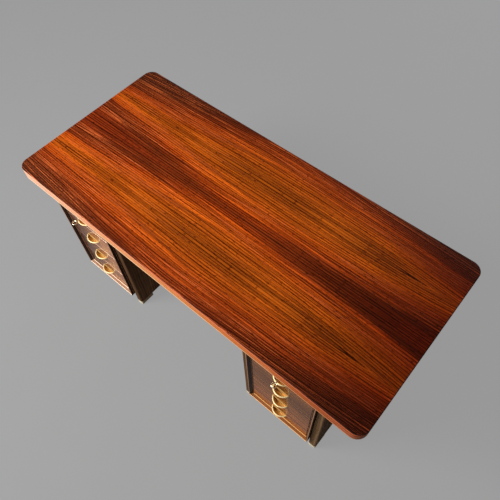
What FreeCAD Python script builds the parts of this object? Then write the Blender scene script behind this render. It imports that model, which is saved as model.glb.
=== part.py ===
import FreeCAD, Part
import os
import re
import Sketcher

# Kneehole desk: a thick top on two pedestals of four drawers each.
# Origin on the floor under the middle of the whole desk, keys included. Front is -Y, +Z is up.

# Driving dimensions, in millimetres.
LENGTHS = {
    "desk_width": 1800,
    "desk_depth": 810,
    "desk_height": 730,
    "corner_radius": 45,
    "top_thickness": 30,
    "top_arris": 4,
    "seam_arris": 1.2,
    "edge_frame_height": 30,
    "edge_frame_width": 60,
    "edge_frame_arris": 3,
    "end_overhang": 146,
    "panel_thickness": 37,
    "panel_setback": 39,
    "panel_edge_radius": 8,
    "foot_height": 26,
    "foot_length": 75,
    "foot_chamfer": 2,
    "case_width": 326,
    "case_setback": 22,
    "case_rear_setback": 49,
    "case_floor_gap": 83,
    "case_side_board": 15,
    "case_bottom_board": 12,
    "case_top_board": 14,
    "back_panel_thickness": 8,
    "modesty_thickness": 18,
    "modesty_setback": 60,
    "modesty_floor_gap": 180,
    "drawer_recess": 14,
    "drawer_gap": 2,
    "front_thickness": 18,
    "front_arris": 1.5,
    "box_rear_gap": 99,
    "box_top_gap": 20,
    "box_side_thickness": 12,
    "box_back_thickness": 12,
    "box_bottom_thickness": 6,
    "box_bottom_rise": 8,
    "box_groove_depth": 6,
    "dovetail_length": 12,
    "dovetail_flare": 2,
    "dovetail_pin": 7,
    "runner_height": 10,
    "runner_width": 18,
    "runner_rear_gap": 58,
    "runner_front_gap": 1,
    "running_clearance": 0.3,
    "pull_width": 74,
    "pull_projection": 25,
    "pull_depth": 26,
    "pull_wall": 2.2,
    "pull_lip": 2.4,
    "pull_plate": 1.5,
    "key_drop": 43,
    "key_projection": 57,
    "key_shank_radius": 2.4,
    "key_collar_radius": 3.6,
    "key_collar_length": 3,
    "key_bow_radius": 9.8,
    "key_bow_wire": 2.1,
    "key_bit_reach": 9,
    "key_bit_width": 2.4,
    "key_bit_depth": 4,
    "keyhole_clearance": 0.9,
    "keyhole_slot_width": 3.6,
    "keyhole_slot_reach": 11,
    "lock_width": 56,
    "lock_below_key": 16,
    "lock_depth": 11,
    "lock_wall": 1.5,
    "lock_pivot_clearance": 0.1,
    "bolt_width": 24,
    "bolt_thickness": 5,
    "bolt_above_key": 4.5,
    "bolt_top_gap": 0.5,
    "bolt_clearance": 0.3,
    "strike_depth": 10,
    "cut_overrun": 5,
}

# Shares of the sizes that they follow.
SHARES = {
    "case_lip_share": 0.2,
    "pull_rim_share": 0.5,
}

# Two places this near count as one.
SAME_PLACE = 1e-6

DRAWER_COUNT = 4
DOVETAIL_COUNT = 3
SIDES = {"left": -1, "right": 1}

# Derived sizes, written in the driving ones.
KEY_OVERHANG = "(key_projection - case_setback - drawer_recess)"
TOP_FRONT = f"(-(desk_depth - {KEY_OVERHANG}) / 2)"
TOP_MIDDLE = f"({TOP_FRONT} + desk_depth / 2)"
SLAB_UNDERSIDE = "(desk_height - top_thickness)"
PEDESTAL_TOP = f"({SLAB_UNDERSIDE} - edge_frame_height)"
PEDESTAL_WIDTH = "(case_width + 2 * panel_thickness)"
PEDESTAL_OFFSET = f"(desk_width / 2 - end_overhang - {PEDESTAL_WIDTH} / 2)"
PANEL_LENGTH = "(desk_depth - 2 * panel_setback)"
CASE_FRONT = f"({TOP_FRONT} + case_setback)"
CASE_DEPTH = "(desk_depth - case_setback - case_rear_setback)"
CASE_HEIGHT = f"({PEDESTAL_TOP} - case_floor_gap)"
OPENING_WIDTH = "(case_width - 2 * case_side_board)"
OPENING_HEIGHT = f"({CASE_HEIGHT} - case_bottom_board - case_top_board)"
OPENING_FLOOR = "(case_floor_gap + case_bottom_board)"
DRAWER_PITCH = f"({OPENING_HEIGHT} / {DRAWER_COUNT})"
DRAWER_FACE = f"({CASE_FRONT} + drawer_recess)"
DRAWER_INSIDE = f"({DRAWER_FACE} + front_thickness)"
FRONT_WIDTH = f"({OPENING_WIDTH} - 2 * drawer_gap)"
FRONT_HEIGHT = f"({DRAWER_PITCH} - drawer_gap)"
DRAWER_SPACE = f"({CASE_DEPTH} - drawer_recess - front_thickness - back_panel_thickness)"
RUNNER_LENGTH = f"({DRAWER_SPACE} - runner_front_gap - runner_rear_gap)"
BOX_DEPTH = f"({DRAWER_SPACE} - box_rear_gap)"
BOX_INNER_WIDTH = f"({FRONT_WIDTH} - 2 * box_side_thickness)"
BOX_RISE = "(runner_height + running_clearance)"
BOX_SIDE_HEIGHT = f"({FRONT_HEIGHT} - {BOX_RISE} - box_top_gap)"
DOVETAIL_PITCH = f"({BOX_SIDE_HEIGHT} / {DOVETAIL_COUNT})"
TAIL_ENDS = f"({DRAWER_INSIDE} - dovetail_length)"
BOTTOM_WIDTH = f"({BOX_INNER_WIDTH} + 2 * box_groove_depth)"
BOTTOM_RISE = f"({BOX_RISE} + box_bottom_rise)"
PULL_RADIUS = "((pull_width ^ 2 / 4 + pull_projection ^ 2) / (2 * pull_projection))"
PULL_AXIS = f"({PULL_RADIUS} - pull_projection)"
KEY_HEIGHT = f"({FRONT_HEIGHT} - key_drop)"
LOCK_FRONT = "(front_thickness - lock_depth)"
BOLT_FRONT = f"({LOCK_FRONT} + lock_wall + bolt_clearance)"
KEY_BOW_CENTRE = "(key_projection - key_bow_radius - key_bow_wire)"

doc = FreeCAD.newDocument("kneehole_desk")
sheet = doc.addObject("Spreadsheet::Sheet", "Sizes")
for row, (alias, number) in enumerate({**LENGTHS, **SHARES}.items(), start=1):
    sheet.set(f"A{row}", str(number))
    sheet.setAlias(f"A{row}", alias)
doc.recompute()

nodes = []


def tied(text):
    """The text with each size's name pointed at its cell."""
    def cell(match):
        word = match.group()
        return f"Sizes.{word}" if word in LENGTHS or word in SHARES else word
    return re.sub(r"[a-z_]+", cell, text)


def value(text):
    return float(sheet.evalExpression(tied(text)))


def bind(item, **sizes):
    for name, text in sizes.items():
        item.setExpression(name, tied(text))


def place(item, x, y, z):
    for axis, text in zip("xyz", (x, y, z)):
        item.setExpression(f"Placement.Base.{axis}", tied(text))


def keep(item, label):
    item.Label = label
    nodes.append(item)
    return item


def body(name):
    return doc.addObject("PartDesign::Body", name)


def sketch_on(owner, role, offset="0"):
    plane = next(item for item in owner.Origin.OriginFeatures if item.Role == role)
    sketch = owner.newObject("Sketcher::SketchObject", f"{owner.Name}_sketch")
    sketch.AttachmentSupport = [(plane, "")]
    sketch.MapMode = "FlatFace"
    sketch.setExpression("AttachmentOffset.Base.z", tied(offset))
    return sketch


def fix_point(sketch, edge, end, x, y):
    for kind, text in (("DistanceX", x), ("DistanceY", y)):
        index = sketch.addConstraint(Sketcher.Constraint(kind, -1, 1, edge, end, value(text)))
        sketch.setExpression(f"Constraints[{index}]", tied(text))


def outline(sketch, corners, arcs=None):
    """A closed outline through the corners. Each edge named in arcs passes a point with a radius."""
    arcs = arcs or {}
    first = sketch.GeometryCount
    points = [FreeCAD.Vector(value(x), value(y), 0) for x, y in corners]
    for number, start in enumerate(points):
        stop = points[(number + 1) % len(points)]
        if number in arcs:
            bulge = FreeCAD.Vector(*(value(text) for text in arcs[number]["through"]), 0)
            sketch.addGeometry(Part.Arc(start, bulge, stop))
        else:
            sketch.addGeometry(Part.LineSegment(start, stop))
    for number, (x, y) in enumerate(corners):
        edge = first + number
        end = sketch_end(sketch, edge, points[number])
        fix_point(sketch, edge, end, x, y)
        before = first + (number - 1) % len(corners)
        meeting = sketch_end(sketch, before, points[number])
        sketch.addConstraint(Sketcher.Constraint("Coincident", before, meeting, edge, end))
        if number in arcs:
            bind_radius(sketch, edge, arcs[number]["radius"])


def bind_radius(sketch, edge, radius):
    index = sketch.addConstraint(Sketcher.Constraint("Radius", edge, value(radius)))
    sketch.setExpression(f"Constraints[{index}]", tied(radius))


def sketch_end(sketch, edge, point):
    """Which end of the edge lies on the point: 1 for its start, 2 for its end."""
    start = sketch.getPoint(edge, 1)
    stop = sketch.getPoint(edge, 2)
    return 1 if (start - point).Length <= (stop - point).Length else 2


def rectangle(sketch, left, low, right, high):
    outline(sketch, [(left, low), (right, low), (right, high), (left, high)])


def pad(owner, sketch, length, back=False, centred=False):
    feature = owner.newObject("PartDesign::Pad", f"{owner.Name}_pad")
    feature.Profile = sketch
    feature.Reversed = back
    feature.SideType = "Symmetric" if centred else "One side"
    bind(feature, Length=length)
    return feature


def pocket(owner, sketch, length=None, back=False, centred=False):
    feature = owner.newObject("PartDesign::Pocket", f"{owner.Name}_pocket")
    feature.Profile = sketch
    feature.Reversed = back
    feature.SideType = "Symmetric" if centred else "One side"
    if length is None:
        feature.Type = "ThroughAll"
    else:
        bind(feature, Length=length)
    return feature


def soften(owner, base, radius, chosen, kind="Fillet"):
    """A fillet or chamfer on the edges of the base that the test chooses."""
    doc.recompute()
    names = [f"Edge{i}" for i, edge in enumerate(base.Shape.Edges, start=1) if chosen(edge)]
    feature = owner.newObject(f"PartDesign::{kind}", f"{owner.Name}_{kind.lower()}")
    feature.Base = (base, names)
    bind(feature, **{"Radius" if kind == "Fillet" else "Size": radius})
    return feature


def box(name, length, width, height):
    item = doc.addObject("Part::Box", name)
    bind(item, Length=length, Width=width, Height=height)
    return item


def group(label, items):
    compound = doc.addObject("Part::Compound", label)
    compound.Links = items
    return keep(compound, label)


def upright(edge):
    box_of_edge = edge.BoundBox
    return box_of_edge.ZLength > max(box_of_edge.XLength, box_of_edge.YLength)


def in_plane(axis, text):
    """A test for edges that lie in one plane across the axis."""
    level = value(text)

    def chosen(edge):
        limits = edge.BoundBox
        low = getattr(limits, f"{axis}Min")
        high = getattr(limits, f"{axis}Max")
        return max(abs(low - level), abs(high - level)) < SAME_PLACE
    return chosen


def make_top_panel():
    top = body("top_panel")
    sketch = sketch_on(top, "XY_Plane")
    rectangle(sketch, "-desk_width / 2", "-desk_depth / 2", "desk_width / 2", "desk_depth / 2")
    slab = pad(top, sketch, "top_thickness")
    rounded = soften(top, slab, "corner_radius", upright)
    arris = soften(top, rounded, "top_arris", in_plane("Z", "top_thickness"))
    soften(top, arris, "seam_arris", in_plane("Z", "0"))
    place(top, "0", TOP_MIDDLE, SLAB_UNDERSIDE)
    keep(top, "top_panel")


def faces_out(edge):
    """Whether the edge starts on a rail's straight outer face."""
    return edge.BoundBox.YMin < value("seam_arris / 2")


def frame_rail(name, length, turn):
    """One mitred rail of the edge frame, its outer edge along the front before it is turned."""
    rail = body(name)
    sketch = sketch_on(rail, "XY_Plane")
    half = f"({length} / 2)"
    mitre = "(corner_radius * (1 - sqrt(2) / 2))"
    bulge = "(corner_radius * sin(22.5))"
    rise = "(corner_radius * (1 - cos(22.5)))"
    corners = [
        (f"-{half} + corner_radius", "0"),
        (f"{half} - corner_radius", "0"),
        (f"{half} - {mitre}", mitre),
        (f"{half} - edge_frame_width", "edge_frame_width"),
        (f"-{half} + edge_frame_width", "edge_frame_width"),
        (f"-{half} + {mitre}", mitre),
    ]
    arcs = {
        1: {"through": (f"{half} - corner_radius + {bulge}", rise), "radius": "corner_radius"},
        5: {"through": (f"-{half} + corner_radius - {bulge}", rise), "radius": "corner_radius"},
    }
    outline(sketch, corners, arcs)
    bar = pad(rail, sketch, "edge_frame_height")
    lower = in_plane("Z", "0")
    upper = in_plane("Z", "edge_frame_height")
    arris = soften(rail, bar, "edge_frame_arris", lambda edge: lower(edge) and faces_out(edge))
    soften(rail, arris, "seam_arris", lambda edge: upper(edge) and faces_out(edge))
    rail.Placement.Rotation = FreeCAD.Rotation(FreeCAD.Vector(0, 0, 1), turn)
    return rail


def make_top_edge_frame():
    front = frame_rail("edge_rail_front", "desk_width", 0)
    place(front, "0", TOP_FRONT, PEDESTAL_TOP)
    right = frame_rail("edge_rail_right", "desk_depth", 90)
    place(right, "desk_width / 2", TOP_MIDDLE, PEDESTAL_TOP)
    rear = frame_rail("edge_rail_rear", "desk_width", 180)
    place(rear, "0", f"{TOP_FRONT} + desk_depth", PEDESTAL_TOP)
    left = frame_rail("edge_rail_left", "desk_depth", 270)
    place(left, "-desk_width / 2", TOP_MIDDLE, PEDESTAL_TOP)
    group("top_edge_frame", [front, right, rear, left])


def panel_outline(sketch, length):
    rectangle(sketch, "-panel_thickness / 2", "0", "panel_thickness / 2", length)


def panel_place(side, inner):
    reach = "(case_width / 2 + panel_thickness / 2)"
    sign = -side if inner else side
    return f"{side} * {PEDESTAL_OFFSET} + {sign} * {reach}"


def make_side_panel(name, x):
    panel = body(name)
    sketch = sketch_on(panel, "XY_Plane")
    panel_outline(sketch, PANEL_LENGTH)
    slab = pad(panel, sketch, f"{PEDESTAL_TOP} - foot_height")
    soften(panel, slab, "panel_edge_radius", upright)
    place(panel, x, f"{TOP_FRONT} + panel_setback", "foot_height")
    keep(panel, name)


def make_foot(name, x, rear):
    """A brass foot with the same rounded end as the panel that stands on it."""
    foot = body(name)
    sketch = sketch_on(foot, "XY_Plane")
    panel_outline(sketch, "foot_length")
    block = pad(foot, sketch, "foot_height")
    front_end = in_plane("Y", "0")
    rounded = soften(foot, block, "panel_edge_radius", lambda edge: upright(edge) and front_end(edge))
    soften(foot, rounded, "foot_chamfer", in_plane("Z", "0"), "Chamfer")
    foot.Placement.Rotation = FreeCAD.Rotation(FreeCAD.Vector(0, 0, 1), 180 if rear else 0)
    reach = "desk_depth - panel_setback" if rear else "panel_setback"
    place(foot, x, f"{TOP_FRONT} + {reach}", "0")
    return foot


def make_panels_and_feet():
    feet = []
    for side_name, side in SIDES.items():
        for kind, inner in (("outer", False), ("inner", True)):
            x = panel_place(side, inner)
            make_side_panel(f"{side_name}_{kind}_panel", x)
            feet.append(make_foot(f"{side_name}_{kind}_front_foot", x, False))
            feet.append(make_foot(f"{side_name}_{kind}_rear_foot", x, True))
    group("brass_feet", feet)


def make_top_battens():
    """Battens under the slab, one over each side panel, from the front rail to the rear rail."""
    length = "(desk_depth - 2 * edge_frame_width)"
    battens = []
    for side_name, side in SIDES.items():
        for kind, inner in (("outer", False), ("inner", True)):
            batten = box(f"{side_name}_{kind}_batten", "panel_thickness", length, "edge_frame_height")
            x = f"{panel_place(side, inner)} - panel_thickness / 2"
            place(batten, x, f"{TOP_FRONT} + edge_frame_width", PEDESTAL_TOP)
            battens.append(batten)
    group("top_battens", battens)


def make_modesty_panel():
    width = f"(2 * {PEDESTAL_OFFSET} - {PEDESTAL_WIDTH})"
    panel = box("modesty_panel", width, "modesty_thickness", f"{SLAB_UNDERSIDE} - modesty_floor_gap")
    rear = f"{TOP_FRONT} + desk_depth - panel_setback - modesty_setback - modesty_thickness"
    place(panel, f"-{width} / 2", rear, "modesty_floor_gap")
    keep(panel, "modesty_panel")


def bevel(sketch, board, across):
    """The wedge that thins a board to its lip. The board lies from 0 to its thickness."""
    slope = f"({board} * (1 - case_lip_share) / drawer_recess)"
    lip = f"({board} * case_lip_share)"
    front = "-cut_overrun"
    inside = f"{board} + cut_overrun * {slope}"
    corners = [
        (front, f"{lip} - cut_overrun * {slope}"),
        ("drawer_recess + cut_overrun", inside),
        (front, inside),
    ]
    if across:
        corners = [(depth, reach) for reach, depth in corners]
    outline(sketch, corners)


def make_case_level(name, side, board, turn, height):
    """The bottom board, or the top board turned over. Both ends are mitred."""
    level = body(name)
    sketch = sketch_on(level, "XZ_Plane")
    outline(sketch, [
        ("-case_width / 2", "0"),
        ("case_width / 2", "0"),
        ("case_width / 2 - case_side_board", board),
        ("-case_width / 2 + case_side_board", board),
    ])
    pad(level, sketch, CASE_DEPTH, back=True)
    wedge = sketch_on(level, "YZ_Plane")
    bevel(wedge, board, across=False)
    pocket(level, wedge, centred=True)
    level.Placement.Rotation = FreeCAD.Rotation(FreeCAD.Vector(0, 1, 0), turn)
    place(level, f"{side} * {PEDESTAL_OFFSET}", CASE_FRONT, height)
    return level


def make_strike(level):
    """The slot in the top board that takes the raised lock bolt."""
    sketch = sketch_on(level, "XY_Plane", "case_top_board + cut_overrun")
    front = f"drawer_recess + {BOLT_FRONT} - bolt_clearance"
    half = "(bolt_width / 2 + bolt_clearance)"
    rectangle(sketch, f"-{half}", front, half, f"{front} + bolt_thickness + 2 * bolt_clearance")
    pocket(level, sketch, "strike_depth + cut_overrun")


def make_case_side(name, side, inner):
    """An upright board of the case, mitred at both ends."""
    sign = -side if inner else side
    board = body(name if sign < 0 else f"{name}_board")
    sketch = sketch_on(board, "XZ_Plane")
    outline(sketch, [
        ("0", "0"),
        ("case_side_board", "case_bottom_board"),
        ("case_side_board", f"{CASE_HEIGHT} - case_top_board"),
        ("0", CASE_HEIGHT),
    ])
    pad(board, sketch, CASE_DEPTH, back=True)
    wedge = sketch_on(board, "XY_Plane")
    bevel(wedge, "case_side_board", across=True)
    pocket(board, wedge, back=True)
    outer_face = f"{side} * {PEDESTAL_OFFSET} + {sign} * case_width / 2"
    if sign < 0:
        place(board, outer_face, CASE_FRONT, "case_floor_gap")
        return board
    mirrored = doc.addObject("Part::Mirroring", name)
    mirrored.Source = board
    mirrored.Normal = FreeCAD.Vector(1, 0, 0)
    place(mirrored, outer_face, CASE_FRONT, "case_floor_gap")
    return mirrored


def make_back_panel(name, side):
    panel = box(name, OPENING_WIDTH, "back_panel_thickness", OPENING_HEIGHT)
    rear = f"{CASE_FRONT} + {CASE_DEPTH} - back_panel_thickness"
    place(panel, f"{side} * {PEDESTAL_OFFSET} - {OPENING_WIDTH} / 2", rear, OPENING_FLOOR)
    keep(panel, name)


def drawer_floor(number):
    """Height of the lower edge of a drawer front. Drawer 1 is the top one."""
    return f"({OPENING_FLOOR} + {DRAWER_COUNT - number} * {DRAWER_PITCH} + drawer_gap / 2)"


def make_runners(side_name, side):
    strips = []
    for number in range(1, DRAWER_COUNT + 1):
        for hand in (-1, 1):
            name = f"{side_name}_runner_{number}_{'left' if hand < 0 else 'right'}"
            strip = box(name, "runner_width", RUNNER_LENGTH, "runner_height")
            edge = f"{side} * {PEDESTAL_OFFSET} + {hand} * {OPENING_WIDTH} / 2"
            left = edge if hand < 0 else f"{edge} - runner_width"
            place(strip, left, f"{DRAWER_INSIDE} + runner_front_gap", drawer_floor(number))
            strips.append(strip)
    group(f"{side_name}_drawer_runners", strips)


def make_case(side_name, side):
    bottom = make_case_level(f"{side_name}_case_bottom", side, "case_bottom_board", 0, "case_floor_gap")
    keep(bottom, f"{side_name}_case_bottom")
    top = make_case_level(f"{side_name}_case_top", side, "case_top_board", 180, PEDESTAL_TOP)
    make_strike(top)
    keep(top, f"{side_name}_case_top")
    for kind, inner in (("outer", False), ("inner", True)):
        name = f"{side_name}_case_{kind}_side"
        keep(make_case_side(name, side, inner), name)
    make_back_panel(f"{side_name}_back_panel", side)
    make_runners(side_name, side)


def make_drawer_front(name, x, floor, locked):
    front = body(name)
    sketch = sketch_on(front, "XZ_Plane")
    rectangle(sketch, f"-{FRONT_WIDTH} / 2", "0", f"{FRONT_WIDTH} / 2", FRONT_HEIGHT)
    board = pad(front, sketch, "front_thickness", back=True)
    soften(front, board, "front_arris", in_plane("Y", "0"))
    groove = sketch_on(front, "YZ_Plane")
    low = BOTTOM_RISE
    rectangle(groove, "front_thickness - box_groove_depth", low,
              "front_thickness + cut_overrun", f"{low} + box_bottom_thickness")
    pocket(front, groove, BOTTOM_WIDTH, centred=True)
    cut_sockets(front)
    if locked:
        cut_lock_mortise(front)
        cut_keyhole(front)
    place(front, x, DRAWER_FACE, floor)
    keep(front, name)


def cut_lock_mortise(front):
    mortise = sketch_on(front, "XZ_Plane", f"-({LOCK_FRONT})")
    rectangle(mortise, "-lock_width / 2", f"{KEY_HEIGHT} - lock_below_key",
              "lock_width / 2", f"{FRONT_HEIGHT} + cut_overrun")
    pocket(front, mortise, "lock_depth + cut_overrun")


def cut_keyhole(front):
    eye = sketch_on(front, "XZ_Plane")
    round_hole(eye, "key_shank_radius + keyhole_clearance")
    pocket(front, eye)
    slot = sketch_on(front, "XZ_Plane")
    rectangle(slot, "-keyhole_slot_width / 2", f"{KEY_HEIGHT} - keyhole_slot_reach",
              "keyhole_slot_width / 2", KEY_HEIGHT)
    pocket(front, slot)


def round_hole(sketch, radius):
    """A circle round the key's axis."""
    centre = FreeCAD.Vector(0, value(KEY_HEIGHT), 0)
    sketch.addGeometry(Part.Circle(centre, FreeCAD.Vector(0, 0, 1), value(radius)))
    fix_point(sketch, 0, 3, "0", KEY_HEIGHT)
    bind_radius(sketch, 0, radius)


def tail_edge(number, upper):
    """Heights of a dovetail's slanted edge at its wide end and its root, from the side's lower edge."""
    if upper:
        end = f"({number + 1} * {DOVETAIL_PITCH} - dovetail_pin / 2)"
        return end, f"({end} - dovetail_flare)"
    end = f"({number} * {DOVETAIL_PITCH} + dovetail_pin / 2)"
    return end, f"({end} + dovetail_flare)"


def cut_sockets(front):
    """Sockets in the back of a drawer front, one for each dovetail of the two sides."""
    ends = "(front_thickness - dovetail_length)"
    past = "front_thickness + cut_overrun"
    inner = f"({BOX_INNER_WIDTH} / 2)"
    for hand in (-1, 1):
        sockets = sketch_on(front, "YZ_Plane", f"{hand} * {inner}")
        for number in range(DOVETAIL_COUNT):
            low, low_root = (f"{BOX_RISE} + {height}" for height in tail_edge(number, False))
            high, high_root = (f"{BOX_RISE} + {height}" for height in tail_edge(number, True))
            outline(sockets, [
                (ends, low),
                ("front_thickness", low_root),
                (past, low_root),
                (past, high_root),
                ("front_thickness", high_root),
                (ends, high),
            ])
        pocket(front, sockets, "box_side_thickness + cut_overrun", back=hand > 0)


def cut_pin_gaps(side):
    """Gaps between the dovetails of a drawer side, and above and below them."""
    gaps = sketch_on(side, "YZ_Plane")
    root = "dovetail_length"
    for number in range(DOVETAIL_COUNT + 1):
        if number > 0:
            low, low_root = tail_edge(number - 1, True)
            lower = [("-cut_overrun", low), ("0", low), (root, low_root)]
        else:
            lower = [("-cut_overrun", "-cut_overrun"), (root, "-cut_overrun")]
        if number < DOVETAIL_COUNT:
            high, high_root = tail_edge(number, False)
            upper = [(root, high_root), ("0", high), ("-cut_overrun", high)]
        else:
            past = f"{BOX_SIDE_HEIGHT} + cut_overrun"
            upper = [(root, past), ("-cut_overrun", past)]
        outline(gaps, lower + upper)
    pocket(side, gaps, centred=True)


def make_box_side(name, x, floor, hand):
    """A drawer side with dovetails in front and a groove for the bottom on its inner face."""
    side = body(name)
    sketch = sketch_on(side, "XZ_Plane")
    inner = f"{-hand} * box_side_thickness"
    groove = f"{-hand} * (box_side_thickness - box_groove_depth)"
    high = "box_bottom_rise + box_bottom_thickness"
    outline(sketch, [
        ("0", "0"),
        (inner, "0"),
        (inner, "box_bottom_rise"),
        (groove, "box_bottom_rise"),
        (groove, high),
        (inner, high),
        (inner, BOX_SIDE_HEIGHT),
        ("0", BOX_SIDE_HEIGHT),
    ])
    pad(side, sketch, f"{BOX_DEPTH} + dovetail_length", back=True)
    cut_pin_gaps(side)
    place(side, f"{x} + {hand} * {FRONT_WIDTH} / 2", TAIL_ENDS, f"{floor} + {BOX_RISE}")
    return side


def make_drawer_box(name, x, floor):
    left = make_box_side(f"{name}_left", x, floor, -1)
    right = make_box_side(f"{name}_right", x, floor, 1)
    seat = "(box_bottom_rise + box_bottom_thickness)"
    back = box(f"{name}_back", BOX_INNER_WIDTH, "box_back_thickness", f"{BOX_SIDE_HEIGHT} - {seat}")
    place(back, f"{x} - {BOX_INNER_WIDTH} / 2", f"{DRAWER_INSIDE} + {BOX_DEPTH} - box_back_thickness",
          f"{floor} + {BOX_RISE} + {seat}")
    group(name, [left, right, back])


def make_drawer_bottom(name, x, floor):
    bottom = box(name, BOTTOM_WIDTH, f"{BOX_DEPTH} + box_groove_depth", "box_bottom_thickness")
    place(bottom, f"{x} - {BOTTOM_WIDTH} / 2", f"{DRAWER_INSIDE} - box_groove_depth",
          f"{floor} + {BOTTOM_RISE}")
    keep(bottom, name)


def bowl(name, corners, arc_edge, through, radius, face):
    """A bowl turned about the pull's upright axis and sliced off behind the face."""
    turned = body(name)
    sketch = sketch_on(turned, "YZ_Plane")
    outline(sketch, corners, {arc_edge: {"through": through, "radius": radius}})
    axis = sketch.addGeometry(
        Part.LineSegment(FreeCAD.Vector(value(PULL_AXIS), 0, 0),
                         FreeCAD.Vector(value(PULL_AXIS), value("pull_depth"), 0)), True)
    fix_point(sketch, axis, 1, PULL_AXIS, "0")
    fix_point(sketch, axis, 2, PULL_AXIS, "pull_depth")
    revolved = turned.newObject("PartDesign::Revolution", f"{name}_turn")
    revolved.Profile = sketch
    revolved.ReferenceAxis = (sketch, ["Axis0"])
    slice_sketch = sketch_on(turned, "XZ_Plane", face)
    reach = f"({PULL_RADIUS} + pull_lip + cut_overrun)"
    rectangle(slice_sketch, f"-{reach}", "-pull_depth - cut_overrun", reach, "2 * cut_overrun")
    pocket(turned, slice_sketch)
    return turned


def make_pull(name, x, floor):
    """A half-moon cup, open at the top, with a bevelled lip and a plate against the drawer front."""
    ring = f"({PULL_RADIUS} - pull_depth)"
    rim = f"({PULL_AXIS} - {PULL_RADIUS})"
    root = f"({PULL_AXIS} - {ring})"
    share = "(sqrt(2) / 2)"
    outer = bowl(f"{name}_outer", [
        (PULL_AXIS, "0"),
        (rim, "0"),
        (f"{rim} - pull_lip", "-pull_lip"),
        (rim, "-pull_lip"),
        (root, "-pull_depth"),
        (PULL_AXIS, "-pull_depth"),
    ], 3, (f"{root} - pull_depth * {share}", f"-pull_depth * {share}"), "pull_depth", "0")
    hollow = "(pull_depth - pull_wall)"
    inner = bowl(f"{name}_inner", [
        (PULL_AXIS, "cut_overrun"),
        (f"{rim} + pull_wall", "cut_overrun"),
        (f"{rim} + pull_wall", "0"),
        (root, f"-{hollow}"),
        (PULL_AXIS, f"-{hollow}"),
    ], 2, (f"{root} - {hollow} * {share}", f"-{hollow} * {share}"), hollow, "pull_plate")
    cup = doc.addObject("Part::Cut", name)
    cup.Base = outer
    cup.Tool = inner
    place(cup, x, DRAWER_FACE, f"{floor} + {FRONT_HEIGHT} * pull_rim_share")
    keep(cup, name)


def make_lock_case(name, x, floor):
    """The lock's case, open at the back, with a slot in its top for the bolt."""
    case = body(name)
    sketch = sketch_on(case, "XZ_Plane", f"-({LOCK_FRONT})")
    low = f"{KEY_HEIGHT} - lock_below_key"
    rectangle(sketch, "-lock_width / 2", low, "lock_width / 2", FRONT_HEIGHT)
    pad(case, sketch, "lock_depth", back=True)
    hollow = sketch_on(case, "XZ_Plane", f"-({LOCK_FRONT} + lock_wall)")
    rectangle(hollow, "-lock_width / 2 + lock_wall", f"{low} + lock_wall",
              "lock_width / 2 - lock_wall", f"{FRONT_HEIGHT} - lock_wall")
    pocket(case, hollow)
    slot = sketch_on(case, "XY_Plane", f"{FRONT_HEIGHT} + cut_overrun")
    half = "(bolt_width / 2 + bolt_clearance)"
    rectangle(slot, f"-{half}", f"{LOCK_FRONT} + lock_wall", half,
              f"{BOLT_FRONT} + bolt_thickness + bolt_clearance")
    pocket(case, slot, "2 * cut_overrun")
    pivot = sketch_on(case, "XZ_Plane")
    round_hole(pivot, "key_shank_radius + lock_pivot_clearance")
    pocket(case, pivot)
    place(case, x, DRAWER_FACE, floor)
    keep(case, name)


def make_lock_bolt(name, x, floor):
    bolt = box(name, "bolt_width", "bolt_thickness", "key_drop - bolt_above_key - bolt_top_gap")
    place(bolt, f"{x} - bolt_width / 2", f"{DRAWER_FACE} + {BOLT_FRONT}",
          f"{floor} + {KEY_HEIGHT} + bolt_above_key")
    keep(bolt, name)


def make_key(name, x, floor):
    """Shank, collar, ring bow and bit, with the bow and the bit lying level."""
    axis_height = f"{floor} + {KEY_HEIGHT}"
    tip = f"({BOLT_FRONT} + key_bit_depth)"
    shank = doc.addObject("Part::Cylinder", f"{name}_shank")
    bind(shank, Radius="key_shank_radius", Height=f"{tip} + {KEY_BOW_CENTRE} - key_bow_radius")
    collar = doc.addObject("Part::Cylinder", f"{name}_collar")
    bind(collar, Radius="key_collar_radius", Height="key_collar_length")
    bow = doc.addObject("Part::Torus", f"{name}_bow")
    bind(bow, Radius1="key_bow_radius", Radius2="key_bow_wire")
    bit = box(f"{name}_bit", "key_bit_reach", "key_bit_depth", "key_bit_width")
    along_front = FreeCAD.Rotation(FreeCAD.Vector(1, 0, 0), 90)
    shank.Placement.Rotation = along_front
    collar.Placement.Rotation = along_front
    place(shank, "0", tip, "0")
    place(collar, "0", f"-{KEY_BOW_CENTRE} + key_bow_radius + key_bow_wire + 2 * key_collar_length", "0")
    place(bow, "0", f"-{KEY_BOW_CENTRE}", "0")
    place(bit, "0", BOLT_FRONT, "-key_bit_width / 2")
    key = doc.addObject("Part::MultiFuse", name)
    key.Shapes = [shank, collar, bow, bit]
    place(key, x, DRAWER_FACE, axis_height)
    keep(key, name)


def make_drawers(side_name, side):
    x = f"({side} * {PEDESTAL_OFFSET})"
    for number in range(1, DRAWER_COUNT + 1):
        name = f"{side_name}_drawer_{number}"
        floor = drawer_floor(number)
        make_drawer_front(f"{name}_front", x, floor, number == 1)
        make_drawer_box(f"{name}_box", x, floor)
        make_drawer_bottom(f"{name}_bottom", x, floor)
        make_pull(f"{name}_pull", x, floor)
    floor = drawer_floor(1)
    make_lock_case(f"{side_name}_lock_case", x, floor)
    make_lock_bolt(f"{side_name}_lock_bolt", x, floor)
    make_key(f"{side_name}_key", x, floor)


def check_document():
    for item in doc.Objects:
        if "Invalid" in item.State or "Error" in item.State:
            raise RuntimeError(f"{item.Label} failed: {item.State}")
    for node in nodes:
        if node.Shape.isNull() or not node.Shape.isValid():
            raise RuntimeError(f"{node.Label} has no valid shape")


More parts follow.
